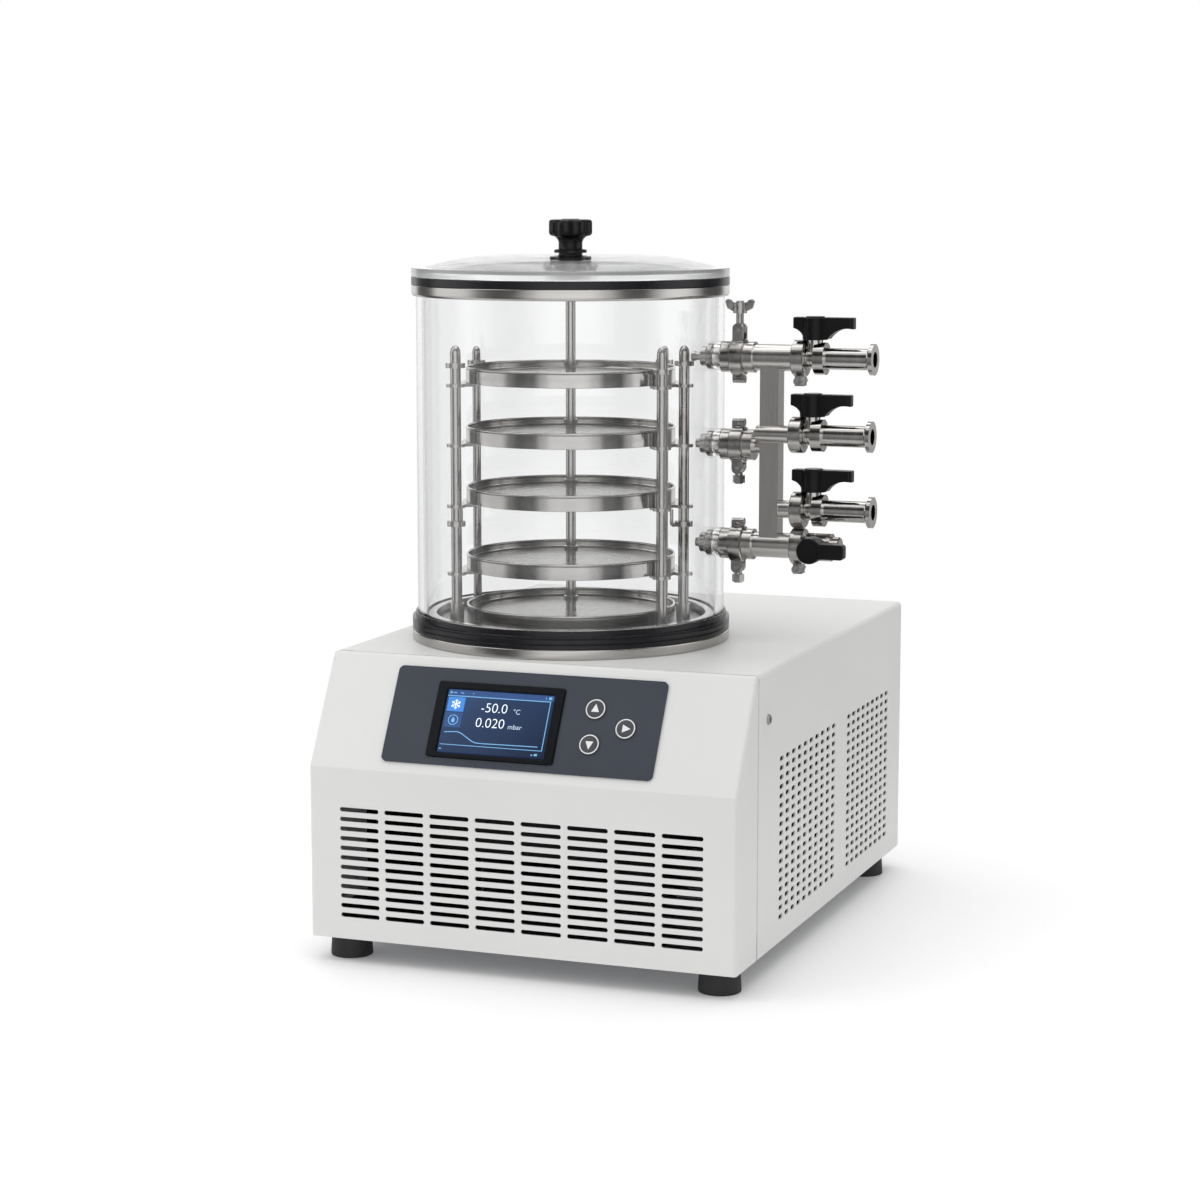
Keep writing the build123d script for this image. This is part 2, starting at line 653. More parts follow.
def condenser():
    """Fin block: thin plates across five tubes, with two pipe stubs at the back."""
    fins = [
        box(*COND_X, y, y + 1.2, *COND_Z)
        for y in [COND_Y[0] + 10.7 * step for step in range(13)]
    ]
    middle = sum(COND_X) / 2
    tubes = [
        rod_y(middle, COND_Y[0], COND_Y[1], z, 4.8)
        for z in [COND_OUT_Z + 30 * step for step in range(5)]
    ]
    stubs = [
        rod_y(middle, COND_Y[1] - 3, COND_Y[1] + 10, z, PIPE_R + 1)
        for z in (COND_IN_Z, COND_OUT_Z)
    ]
    return joined(fins + tubes + stubs)


def fan_shroud():
    """Air guide between fan and condenser, with a spider for the motor and a foot."""
    body = box(*SHROUD_X, *COND_Y, PAN_TOP, COND_Z[1])
    body -= box(SHROUD_X[0] + 2, SHROUD_X[1] + 1, COND_Y[0] + 2, COND_Y[1] - 2,
                COND_Z[0] + 2, COND_Z[1] - 2)
    body -= rod_x(SHROUD_X[0] - 1, SHROUD_X[0] + 3, FAN_Y, FAN_Z, FAN_R)
    body -= box(SHROUD_X[0] + 2, SHROUD_X[1] + 1, COND_Y[0] + 2, COND_Y[1] - 2,
                PAN_TOP + 2, COND_Z[0] - 2)
    duct = rod_x(SHROUD_X[0] - 10, SHROUD_X[0] + 2, FAN_Y, FAN_Z, FAN_R + 2)
    duct -= rod_x(SHROUD_X[0] - 11, SHROUD_X[0] + 3, FAN_Y, FAN_Z, FAN_R)
    spider = rod_x(SHROUD_X[0] - 10, SHROUD_X[0] - 7, FAN_Y, FAN_Z, 22)
    for turn in (45, 135):
        arm = Box(3, 8, 2 * FAN_R + 2)
        spider += Pos(SHROUD_X[0] - 8.5, FAN_Y, FAN_Z) * Rot(turn, 0, 0) * arm
    spider -= rod_x(SHROUD_X[0] - 11, SHROUD_X[0] - 6, FAN_Y, FAN_Z, 6)
    return joined([body, duct, spider])


def fan_motor():
    """Can of the fan motor, behind the spider."""
    end = SHROUD_X[0] - 10
    can = rod_x(end - 34, end, FAN_Y, FAN_Z, 20)
    boss = rod_x(end - 1, end + 3, FAN_Y, FAN_Z, 5.9)
    return (can + boss) - rod_x(end - 12, end + 4, FAN_Y, FAN_Z, 2.05)


def fan_rotor():
    """Hub with five pitched blades and its shaft into the motor."""
    x0 = SHROUD_X[0] - 6
    hub = rod_x(x0, x0 + 15, FAN_Y, FAN_Z, 16)
    shaft = rod_x(x0 - 14, x0 + 1, FAN_Y, FAN_Z, 2.0)
    blade = Pos(9.8, 0, 31) * Rot(0, 0, 62) * Box(1.6, 19, 34)
    blades = [
        Pos(x0, FAN_Y, FAN_Z) * Rot(72 * step, 0, 0) * blade
        for step in range(5)
    ]
    return joined([hub, shaft] + blades)


def trap_stub(x, z, hole_r, start, end):
    """Straight stretch along Y from the coil out through the foam."""
    return rod_y(x, CY + start, CY + end, z, hole_r)


def cold_trap():
    """Deep-drawn steel cup with a hanging flange and an outlet for the vacuum pump."""
    cup = turned([
        (0, TRAP_FLOOR - TRAP_WALL), (TRAP_R + TRAP_WALL, TRAP_FLOOR - TRAP_WALL),
        (TRAP_R + TRAP_WALL, CAB_TOP - TRAP_WALL), (FOAM_R - 12, CAB_TOP - TRAP_WALL),
        (FOAM_R - 12, CAB_TOP), (TRAP_R, CAB_TOP), (TRAP_R, TRAP_FLOOR), (0, TRAP_FLOOR),
    ])
    return cup - rod_y(CX, CY + TRAP_R - 10, CY + TRAP_R + 10, PUMP_Z, PUMP_BORE_R)


def trap_coil():
    """Evaporator tube wound round the cup, with its two ends led out to the back."""
    turns = [
        Pos(CX, CY, COIL_LOW + turn * COIL_PITCH) * Torus(COIL_R, COIL_TUBE_R)
        for turn in range(COIL_TURNS)
    ]
    strap = box(CX - COIL_R - 1.5, CX - COIL_R + 1.5, CY - 4, CY + 4, COIL_LOW, COIL_HIGH)
    reach = sqrt(COIL_R ** 2 - 40.0 ** 2)
    ends = [
        trap_stub(SUCTION_X, COIL_HIGH, SUCTION_R - 0.6, reach, FOAM_R + 4),
        trap_stub(FEED_X, COIL_LOW, PIPE_R, reach, FOAM_R + 4),
    ]
    return joined(turns + [strap] + ends)


def trap_insulation():
    """Foam jacket round the coil and under the cup."""
    inner = COIL_R + COIL_TUBE_R + 0.4
    jacket = turned([
        (0, FOAM_LOW), (FOAM_R, FOAM_LOW), (FOAM_R, FOAM_TOP), (inner, FOAM_TOP),
        (inner, TRAP_FLOOR - TRAP_WALL), (0, TRAP_FLOOR - TRAP_WALL),
    ])
    jacket -= trap_stub(CX, PUMP_Z, PUMP_TUBE_R + 0.3, 100, FOAM_R + 5)
    jacket -= trap_stub(SUCTION_X, COIL_HIGH, SUCTION_R, 100, FOAM_R + 5)
    jacket -= trap_stub(FEED_X, COIL_LOW, PIPE_R + 0.4, 100, FOAM_R + 5)
    return jacket


def trap_stand():
    """Bracket on the base pan that carries the foam jacket."""
    top = box(CX - 70, CX + 70, CY - 60, CY + 60, FOAM_LOW - 2, FOAM_LOW)
    left = box(CX - 70, CX - 68, CY - 60, CY + 60, PAN_TOP, FOAM_LOW)
    right = box(CX + 68, CX + 70, CY - 60, CY + 60, PAN_TOP, FOAM_LOW)
    left_foot = box(CX - 85, CX - 68, CY - 60, CY + 60, PAN_TOP, PAN_TOP + 2)
    right_foot = box(CX + 68, CX + 85, CY - 60, CY + 60, PAN_TOP, PAN_TOP + 2)
    return joined([top, left, right, left_foot, right_foot])


def pipe(points, radii, outer, wall):
    """Tube along straight runs joined by arcs."""
    path = FilletPolyline(*points, radius=radii)
    start = Plane(origin=path @ 0, z_dir=path % 0)
    return sweep(start * (Circle(outer) - Circle(outer - wall)), path=path)


def refrigerant_lines():
    """Suction, discharge, liquid and capillary tubes."""
    middle = sum(COND_X) / 2
    out_y = COND_Y[1] + 10
    suction = pipe([
        (SUCTION_X, STUB_END_Y, COIL_HIGH),
        (SUCTION_X, COMP_Y, COIL_HIGH),
        (SUCTION_X, COMP_Y, COMP_TOP + 10),
    ], 12, SUCTION_R, 1.0)
    discharge = pipe([
        (COMP_X + COMP_R + 20, COMP_Y, 80),
        (230, COMP_Y, 80), (230, DRIER_Y, 80), (230, DRIER_Y, COND_IN_Z),
        (middle, DRIER_Y, COND_IN_Z), (middle, out_y, COND_IN_Z),
    ], 12, PIPE_R, 0.8)
    liquid = pipe([
        (middle, out_y, COND_OUT_Z), (middle, DRIER_Y, COND_OUT_Z),
        (DRIER_X[1], DRIER_Y, DRIER_Z),
    ], 12, PIPE_R, 0.8)
    capillary = pipe([
        (DRIER_X[0], DRIER_Y, DRIER_Z), (FEED_X, DRIER_Y, DRIER_Z), (FEED_X, 400, DRIER_Z),
        (FEED_X, 400, COIL_LOW), (FEED_X, STUB_END_Y, COIL_LOW),
    ], 10, 1.5, 0.8)
    return Compound(children=[suction, discharge, liquid, capillary])


def filter_drier():
    """Spun copper shell of the drier, tapered to its pipes, on a stand-off clip."""
    x0, x1 = DRIER_X
    shell = turned_x([
        (x0, 0), (x0, 3), (x0 + 8, 11), (x1 - 8, 11), (x1, 4.5), (x1, 0),
    ], DRIER_Y, DRIER_Z)
    clip = box(266, 274, DRIER_Y - 9, DRIER_Y + 9, PAN_TOP, DRIER_Z)
    return shell + clip


def pump_port():
    """Vacuum outlet: pipe from the cup out through the back, with a clamp flange."""
    start = CY + sqrt((TRAP_R + TRAP_WALL) ** 2 - PUMP_TUBE_R ** 2)
    tube = rod_y(CX, start + 0.1, PUMP_END, PUMP_Z, PUMP_TUBE_R)
    lip = rod_y(CX, PUMP_END - 3.0, PUMP_END, PUMP_Z, 20.0)
    taper = Pos(CX, PUMP_END - 4.0, PUMP_Z) * Rot(-90, 0, 0) * Cone(16.0, 20.0, 2.0)
    collar = rod_y(CX, CAB_D - SHEET, CAB_D + 2, PUMP_Z, 17.5)
    bore = rod_y(CX, start - 1, PUMP_END + 1, PUMP_Z, PUMP_BORE_R)
    cup = rod_z(CX, CY, PUMP_Z - 20, PUMP_Z + 20, TRAP_R + TRAP_WALL)
    return joined([tube, lip, taper, collar]) - bore - cup


# ---- chamber ----
def base_ring():
    """Turned steel ring on the cover, with the upstand that centres the cylinder."""
    return turned([
        (WELL_R, CAB_TOP), (RING_R, CAB_TOP), (RING_R, RING_TOP - 0.8), (RING_R - 0.8, RING_TOP),
        (HUB_R, RING_TOP), (HUB_R, HUB_TOP - 1), (HUB_R - 1, HUB_TOP), (WELL_R, HUB_TOP),
    ])


def base_gasket():
    """Rubber seal with a channel for the cylinder and two fine grooves outside."""
    seat_out = CYL_R + SEAT_FIT
    seat_in = CYL_R - CYL_WALL - SEAT_FIT
    grooves = []
    for rise, depth in GASKET_GROOVES:
        low = RING_TOP + rise
        grooves += [(RING_R, low), (RING_R - depth, low + 0.4)]
        grooves += [(RING_R - depth, low + 1.0), (RING_R, low + 1.4)]
    return turned([
        (HUB_R + 0.2, RING_TOP), (RING_R, RING_TOP), *grooves, (RING_R, GASKET_TOP), (GASKET_LIP_R, GASKET_TOP), (GASKET_LIP_R, GASKET_LIP_TOP - 0.6),
        (GASKET_LIP_R - 0.6, GASKET_LIP_TOP), (seat_out, GASKET_LIP_TOP), (seat_out, CYL_SEAT),
        (seat_in, CYL_SEAT), (seat_in, GASKET_TOP), (HUB_R + 0.2, GASKET_TOP),
    ])


def chamber_cylinder():
    """Clear cylinder with three bosses and bores for the manifold's ports."""
    wall_in = CYL_R - CYL_WALL
    tube = turned([
        (wall_in, CYL_SEAT), (CYL_R, CYL_SEAT), (CYL_R, CYL_TOP), (wall_in, CYL_TOP),
    ])
    bosses = [rod_x(CX + 142, PORT_NEAR_X, CY, z, SHOULDER_R) for z in PORT_Z]
    tube = joined([tube] + bosses)
    for z in PORT_Z:
        tube -= rod_x(CX + 120, PORT_NEAR_X + 1, CY, z, NIPPLE_R + 0.1)
    return tube


def top_ring():
    """Steel ring on the cylinder's upper edge, with a skirt round the outside."""
    wall_in = CYL_R - CYL_WALL
    return turned([
        (CYL_R + SEAT_FIT, TOP_RING_LOW), (TOP_RING_R - 1.2, TOP_RING_LOW), (TOP_RING_R, TOP_RING_LOW + 2.2),
        (TOP_RING_R, TOP_RING_TOP), (wall_in, TOP_RING_TOP), (wall_in, CYL_TOP),
        (CYL_R + SEAT_FIT, CYL_TOP),
    ])


def lid_gasket():
    """Flat rubber ring under the lid."""
    wall_in = CYL_R - CYL_WALL
    return turned([
        (wall_in, TOP_RING_TOP), (TOP_RING_R, TOP_RING_TOP), (TOP_RING_R, LID_LOW - 0.6),
        (TOP_RING_R - 0.6, LID_LOW), (wall_in, LID_LOW),
    ])


def dome_height(r):
    """Height of the lid's crown at a radius: flat in the middle, falling off at the shoulder."""
    drop = (r / LID_DOME_R) ** LID_DOME_POWER
    return LID_RIM_TOP + (LID_DOME_TOP - LID_RIM_TOP) * (1 - drop)


def lid():
    """Clear crowned lid with a stepped hole for the gland and a recess underneath."""
    crown = [(r, 0, dome_height(r)) for r in (LID_DOME_R * step / 8 for step in range(1, 9))]
    inner = GLAND_R + GLAND_FIT
    wall_in = CYL_R - CYL_WALL
    rim = Polyline(
        crown[-1], (TOP_RING_R - 1.2, 0, LID_RIM_TOP), (TOP_RING_R, 0, LID_RIM_TOP - 1.2),
        (TOP_RING_R, 0, LID_LOW), (wall_in, 0, LID_LOW), (wall_in - 1.5, 0, LID_LOW + 2),
        (LID_RECESS_R + 1.5, 0, LID_LOW + 2.6), (LID_RECESS_R, 0, LID_UNDER),
        (GLAND_SHANK_R + GLAND_FIT, 0, LID_UNDER), (GLAND_SHANK_R + GLAND_FIT, 0, GLAND_SEAT),
        (inner, 0, GLAND_SEAT), crown[0],
    )
    outline = Wire([Spline(*crown)] + list(rim.edges()))
    return Pos(CX, CY, 0) * revolve(make_face(outline), Axis.Z)


def lid_gland():
    """Steel gland through the lid and the flanged nut that clamps it from below."""
    bore = ROD_R + ROD_FIT
    gland = turned([
        (bore, GLAND_SEAT - 12), (GLAND_SHANK_R, GLAND_SEAT - 12), (GLAND_SHANK_R, GLAND_SEAT),
        (GLAND_R, GLAND_SEAT), (GLAND_R, GLAND_TOP - 0.6), (GLAND_R - 0.6, GLAND_TOP),
        (bore, GLAND_TOP),
    ])
    nut = turned([
        (GLAND_SHANK_R, LID_UNDER), (21.5, LID_UNDER), (21.5, LID_UNDER - 2),
        (14.0, LID_UNDER - 2), (14.0, LID_UNDER - 8), (GLAND_SHANK_R, LID_UNDER - 8),
    ])
    return Compound(children=[gland, nut])


def lid_knob():
    """Moulded star knob with a waisted skirt, a collar and a spindle into the gland."""
    z0 = GLAND_TOP + KNOB_GAP
    body = turned([
        (0, z0), (GLAND_R, z0), (GLAND_R, z0 + 6.4), (GLAND_R - 0.8, z0 + 7.0),
        (11.3, z0 + 7.4), (11.3, z0 + 14.1), (12.4, z0 + 17.1), (15.5, z0 + 19.8),
        (17.0, z0 + 20.6), (17.0, z0 + 33.8), (16.0, z0 + 34.9), (8.0, z0 + 34.9),
        (8.0, z0 + 35.7), (0, z0 + 35.7),
    ])
    lobe = Pos(16.3, 0, z0 + 27.65) * Cylinder(KNOB_LOBE_R, KNOB_LOBE_H)
    step = 360 / KNOB_LOBES
    lobes = [Pos(CX, CY, 0) * Rot(0, 0, step * turn) * lobe for turn in range(KNOB_LOBES)]
    rounded = [fillet(lobe.edges().filter_by(GeomType.CIRCLE), 1.6) for lobe in lobes]
    spindle = rod_z(CX, CY, LID_UNDER + 1, z0 + 1, ROD_R)
    return joined([body, spindle] + rounded)


def post_place(name):
    """(x, y) of a rack post."""
    side, away = POSTS[name][:2]
    x = CX + side * cos(RACK_TURN) - away * sin(RACK_TURN)
    y = CY + side * sin(RACK_TURN) + away * cos(RACK_TURN)
    return x, y


def central_rod():
    """Rod up through all trays, with a collar above each tray's floor."""
    rod = rod_z(CX, CY, RACK_TOP - RACK_T - 4, ROD_TOP, ROD_R)
    collars = [
        rod_z(CX, CY, rim - TRAY_DEPTH + 8.5, rim - TRAY_DEPTH + 13.5, 6.5)
        for rim in TRAY_RIMS
    ]
    nut = rod_z(CX, CY, RACK_TOP - RACK_T - 4, RACK_TOP - RACK_T, 8.5)
    return joined([rod, nut] + collars)


def rack_plate():
    """Floor of the rack: pierced plate with a skirt that stands on the trap's rim."""
    plate = turned([
        (ROD_R + 0.05, RACK_TOP - RACK_T), (RACK_R - 2, RACK_TOP - RACK_T), (RACK_R - 2, CAB_TOP),
        (WELL_R - 0.6, CAB_TOP), (WELL_R - 0.6, CAB_TOP + 2), (RACK_R, CAB_TOP + 2),
        (RACK_R, RACK_TOP), (ROD_R + 0.05, RACK_TOP),
    ])
    holes = []
    for radius, count, size in RACK_HOLES:
        for turn in range(count):
            place = Rot(0, 0, turn * 360 / count) * Pos(radius, 0, RACK_TOP) * Cylinder(size, 20)
            holes.append(Pos(CX, CY, 0) * place)
    return plate.cut(*holes)


def rack_posts():
    """Five round posts with domed tops."""
    posts = []
    for name, (_, _, r, top, _) in POSTS.items():
        x, y = post_place(name)
        post = rod_z(x, y, RACK_TOP, TRAY_RIMS[0] + top, r)
        posts.append(fillet(post.edges().sort_by(Axis.Z)[-1], r * 0.6))
    return Compound(children=posts)


def bearing(name):
    """Direction of a post as seen from the chamber's axis, in degrees."""
    x, y = post_place(name)
    return degrees(atan2(y - CY, x - CX))


def arc_band(first, last, z):
    """Flat ring sector between two bearings, on the tray's edge."""
    outer = Circle(LEDGE_OUT) - Circle(LEDGE_IN)
    span = (last - first) % 360
    steps = 6
    corners = [(0, 0)]
    for step in range(steps + 1):
        turn = radians(first + span * step / steps)
        corners.append((200 * cos(turn), 200 * sin(turn)))
    sector = make_face(Polyline(*corners, close=True))
    return Pos(CX, CY, z) * extrude(outer & sector, amount=LEDGE_T)


def ledge(first, last, names, z):
    """Tray ledge: a ring sector with an eye round each of its posts."""
    plate = arc_band(bearing(first), bearing(last), z)
    for name in names:
        x, y = post_place(name)
        eye = rod_z(x, y, z, z + LEDGE_T, EYE_R)
        plate = plate + eye
    for name in names:
        x, y = post_place(name)
        plate -= rod_z(x, y, z - 1, z + LEDGE_T + 1, POSTS[name][2] + 0.05)
    return plate


def tray_ledges():
    """Left and right ledges under the four upper trays."""
    plates = []
    for rim in TRAY_RIMS[:-1]:
        z = rim - TRAY_H - LEDGE_T
        plates.append(ledge("B", "A", "AB", z))
        plates.append(ledge("C", "E", "CDE", z))
    return Compound(children=plates)


def rack_collars():
    """Top collars cut clear of the tray, foot sleeves and the two clamped hook wires."""
    pieces = []
    for name, (_, _, r, _, rise) in POSTS.items():
        x, y = post_place(name)
        middle = TRAY_RIMS[0] + rise
        ring = rod_z(x, y, middle - 2, middle + 2.5, 9.0)
        ring -= rod_z(CX, CY, middle - 3, middle + 4, TRAY_R + TRAY_ROOM)
        pieces.append(ring - rod_z(x, y, middle - 3, middle + 4, r + 0.05))
    for name in ("A", "D"):
        x, y = post_place(name)
        sleeve = rod_z(x, y, RACK_TOP, RACK_TOP + 18.5, 6.4)
        pieces.append(sleeve - rod_z(x, y, RACK_TOP - 1, RACK_TOP + 20, POSTS[name][2] + 0.05))
    for name, other in (("A", "B"), ("D", "C")):
        pieces.append(hook(name, other))
    return Compound(children=pieces)


def hook(name, other):
    """Clamp collar on a post with a bent wire that hooks up to the third ledge."""
    x, y = post_place(name)
    r = POSTS[name][2]
    high = TRAY_RIMS[2] - TRAY_H - LEDGE_T
    low = high - HOOK_DROP
    aim_x, aim_y = post_place(other)
    reach = hypot(aim_x - x, aim_y - y)
    step_x = (aim_x - x) / reach
    step_y = (aim_y - y) / reach
    collar = rod_z(x, y, low, low + 5, 8.5)
    wire = FilletPolyline(
        (x + step_x * 7, y + step_y * 7, low + 2.5), (x + step_x * 20, y + step_y * 20, low + 2.5),
        (x + step_x * 20, y + step_y * 20, high), radius=4,
    )
    start = Plane(origin=wire @ 0, z_dir=wire % 0)
    bent = sweep(start * Circle(HOOK_WIRE_R), path=wire)
    return (collar + bent) - rod_z(x, y, low - 1, low + 6, r + 0.05)


def tray(rim):
    """Pressed tray: floor part-way down a straight band, with a rolled rim."""
    floor = rim - TRAY_DEPTH
    inner = TRAY_R - TRAY_T
    pan = turned([
        (ROD_R + 0.45, floor - TRAY_T), (inner, floor - TRAY_T), (inner, rim - TRAY_H),
        (TRAY_R, rim - TRAY_H), (TRAY_R, rim - 1.2), (inner, rim - 1.2),
        (inner, floor + 0.8), (inner - 0.8, floor), (ROD_R + 0.45, floor),
    ])
    bead = Pos(CX, CY, rim - 1.2) * Torus(TRAY_R - 0.9, 1.2)
    return pan + bead


# ---- manifold ----
def flange_lip(seal_x, side):
    """Points (x, radius) of a clamp flange: flat sealing face and tapered back."""
    return [
        (seal_x, FLANGE_R),
        (seal_x + side * 0.9, FLANGE_R),
        (seal_x + side * FLANGE_T, FLANGE_R - 0.6),
        (seal_x + side * FLANGE_T, NECK_R),
    ]


def nipple(tip_x, spigot_r, z):
    """Port nipple: flange and shoulder outside, threaded stem through the wall."""
    seal = PORT_CLAMP_X - RING_T / 2
    clamp_edge = PORT_CLAMP_X - PORT_CLAMP_W / 2
    points = [(seal, FLANGE_BORE)] + flange_lip(seal, -1) + [
        (clamp_edge, NECK_R), (clamp_edge - 0.3, SHOULDER_R), (PORT_NEAR_X, SHOULDER_R),
        (PORT_NEAR_X, NIPPLE_R), (CX + NIPPLE_TAIL, NIPPLE_R), (CX + NIPPLE_TAIL, spigot_r),
        (tip_x + 3, spigot_r), (tip_x + 3, spigot_r + 0.9), (tip_x, spigot_r + 0.9),
        (tip_x, 1.8), (CX + 134, 1.8), (CX + 142, FLANGE_BORE),
    ]
    return turned_x(points, CY, z)


def port_nut(z):
    """Flat nut that draws the nipple tight against the inside of the wall."""
    face = CX + sqrt((CYL_R - CYL_WALL) ** 2 - PORT_NUT_R ** 2)
    back = face - PORT_NUT_T
    return turned_x([
        (face, NIPPLE_R + 0.05), (face, PORT_NUT_R), (back + 1, PORT_NUT_R),
        (back, PORT_NUT_R - 1), (back, NIPPLE_R + 0.05),
    ], CY, z)


def port_nipples():
    """Three nipples with their cone nuts."""
    pieces = []
    for z, tip, spigot in zip(PORT_Z, NIPPLE_TIPS, SPIGOT_R):
        pieces.append(nipple(tip, spigot, z))
        pieces.append(port_nut(z))
    return Compound(children=pieces)


def header_port(z, tube_r):
    """Outline of the header's flange that meets a nipple, turned solid."""
    seal = PORT_CLAMP_X + RING_T / 2
    clamp_edge = PORT_CLAMP_X + PORT_CLAMP_W / 2
    points = [(seal, 0)] + flange_lip(seal, 1) + [
        (clamp_edge, NECK_R), (clamp_edge + 0.3, SHOULDER_R), (PORT_FAR_X, SHOULDER_R),
        (PORT_FAR_X, tube_r), (HEADER_X, tube_r), (HEADER_X, 0),
    ]
    return turned_x(points, CY, z)


def header_outlet(z, tube_r, proud, back_x):
    """Outline of the header's flange that meets a valve, turned solid."""
    seal = VALVE_CLAMP_X - RING_T / 2
    neck = VALVE_CLAMP_X - VALVE_CLAMP_W / 2
    points = [(back_x, 0), (back_x, tube_r), (neck - 0.5, tube_r), (neck, NECK_R)]
    points += flange_lip(seal, -1)[::-1] + [(seal, 0)]
    return turned_x(points, CY + proud, z)


def manifold_header():
    """Welded manifold: square upright tube with three ports in and four outlets."""
    half = HEADER_W / 2
    upright = box(HEADER_X - half, HEADER_X + half, CY - half, CY + half, HEADER_LOW, HEADER_TOP)
    outside = [upright]
    outside.append(header_port(PORT_Z[0], TOP_TUBE_R))
    outside.append(header_port(PORT_Z[1], STUB_R))
    outside.append(header_port(PORT_Z[2], LOW_TUBE_R))
    outside.append(header_outlet(VALVE_Z[0], TOP_TUBE_R, 0, HEADER_X))
    outside.append(header_outlet(VALVE_Z[1], STUB_R, VALVE2_PROUD, HEADER_X - 12))
    outside.append(header_outlet(VALVE_Z[2], STUB_R, 0, HEADER_X))
    outside.append(header_outlet(VALVE_Z[3], LOW_TUBE_R, 0, HEADER_X))
    body = joined(outside)
    room = half - HEADER_WALL
    hollow = box(HEADER_X - room, HEADER_X + room, CY - room, CY + room, HEADER_LOW, HEADER_TOP)
    hollows = [hollow]
    bore = STUB_R - HEADER_WALL
    for z, r in zip(PORT_Z, (FLANGE_BORE, bore, FLANGE_BORE)):
        hollows.append(rod_x(PORT_CLAMP_X, HEADER_X, CY, z, r))
    hollows.append(rod_x(HEADER_X, VALVE_CLAMP_X, CY, VALVE_Z[0], FLANGE_BORE))
    hollows.append(rod_x(HEADER_X - 9, VALVE_CLAMP_X, CY + VALVE2_PROUD, VALVE_Z[1], bore))
    hollows.append(rod_x(HEADER_X, VALVE_CLAMP_X, CY, VALVE_Z[2], bore))
    hollows.append(rod_x(HEADER_X, VALVE_CLAMP_X, CY, VALVE_Z[3], FLANGE_BORE))
    return body.cut(*hollows)


def centring_rings():
    """Rings with a rubber edge between each pair of clamp flanges."""
    rings = []
    for z in PORT_Z:
        rings.append(centring_ring(PORT_CLAMP_X, CY, z))
    for z, proud in zip(VALVE_Z, (0, VALVE2_PROUD, 0, 0)):
        rings.append(centring_ring(VALVE_CLAMP_X, CY + proud, z))
    return Compound(children=rings)


def centring_ring(x, y, z):
    """One ring, its inner tube reaching a little way into the flange bores."""
    low = x - RING_T / 2
    return turned_x([
        (low, FLANGE_R - 0.4), (low + RING_T, FLANGE_R - 0.4), (low + RING_T, 5.2), (low, 5.2),
    ], y, z)


def clamp_ring(x, y, z, width):
    """Ring with an inner groove that wedges two tapered flanges together."""
    inner = FLANGE_R + CLAMP_FIT
    groove = RING_T / 2 + FLANGE_T + CLAMP_FIT
    half = width / 2
    return turned_x([
        (x - half, CLAMP_R - 0.8), (x - half + 0.8, CLAMP_R), (x + half - 0.8, CLAMP_R),
        (x + half, CLAMP_R - 0.8), (x + half, NECK_R + 0.4), (x + groove, NECK_R + 0.4),
        (x + groove, inner - 0.6), (x + groove - 1.8, inner), (x - groove + 1.8, inner),
        (x - groove, inner - 0.6), (x - groove, NECK_R + 0.4), (x - half, NECK_R + 0.4),
    ], y, z)


def port_clamp(z, up, reach, pin):
    """Two half rings: a hinge on one side, a fork with a cross pin on the other."""
    x = PORT_CLAMP_X
    half = PORT_CLAMP_W / 2
    gap = CLAMP_SPLIT / 2
    ring = clamp_ring(x, CY, z, PORT_CLAMP_W)
    hinge_z = z - up * (CLAMP_R + HINGE_R + 0.1)
    halves = []
    for side in (-1, 1):
        y0, y1 = sorted((CY + side * gap, CY + side * 30))
        piece = ring & box(x - half - 1, x + half + 1, y0, y1, z - 40, z + 40)
        y0, y1 = sorted((CY + side * FORK_IN, CY + side * FORK_OUT))
        z0, z1 = sorted((z + up * (CLAMP_R - 1.6), z + up * (reach - FORK_W / 2)))
        cheek = box(x - FORK_W / 2, x + FORK_W / 2, y0, y1, z0, z1)
        cheek += rod_y(x, y0, y1, z + up * (reach - FORK_W / 2), FORK_W / 2)
        web_x = (x - 2, x + 2) if side > 0 else (x - half + 0.5, x + half - 0.5)
        y0, y1 = sorted((CY + side * gap, CY + side * HINGE_R))
        z0, z1 = sorted((z - up * (CLAMP_R - 1.2), hinge_z))
        web = box(*web_x, y0, y1, z0, z1)
        knuckle = rod_x(*web_x, CY, hinge_z, HINGE_R)
        piece = joined([piece, cheek, web, knuckle])
        if side < 0:
            piece -= box(x - 2.2, x + 2.2, CY - 8, CY + 8, hinge_z - 6, hinge_z + 6)
        piece -= rod_x(x - half, x + half, CY, hinge_z, PIN_R + 0.05)
        piece -= rod_y(x, CY - 10, CY + 10, z + up * pin, PIN_R + 0.05)
        halves.append(piece)
    return halves


def port_clamps():
    """Six half rings round the three ports."""
    halves = []
    for z, (up, reach, pin) in zip(PORT_Z, PORT_FORKS):
        halves += port_clamp(z, up, reach, pin)
    return Compound(children=halves)


def valve_clamp():
    """Split band round an axis along X through the origin, its two ears pointing down."""
    band = clamp_ring(0, 0, 0, VALVE_CLAMP_W)
    ears = box(-4.2, 4.2, -5.5, 5.5, -EAR_REACH, -CLAMP_R + 2)
    band = band + ears
    band -= box(-20, 20, -CLAMP_SPLIT / 2, CLAMP_SPLIT / 2, -40, -NECK_R)
    return band - rod_y(0, -10, 10, -EAR_BOLT, PIN_R + 0.05)


def valve_places():
    """(y, z, turn of the clamp) for the four valves."""
    return list(zip((CY, CY + VALVE2_PROUD, CY, CY), VALVE_Z, VALVE_CLAMP_TURNS))


def valve_clamps():
    """Four split bands; the two middle ones have their ears at the back."""
    bands = [
        Pos(VALVE_CLAMP_X, y, z) * Rot(turn, 0, 0) * valve_clamp()
        for y, z, turn in valve_places()
    ]
    return Compound(children=bands)


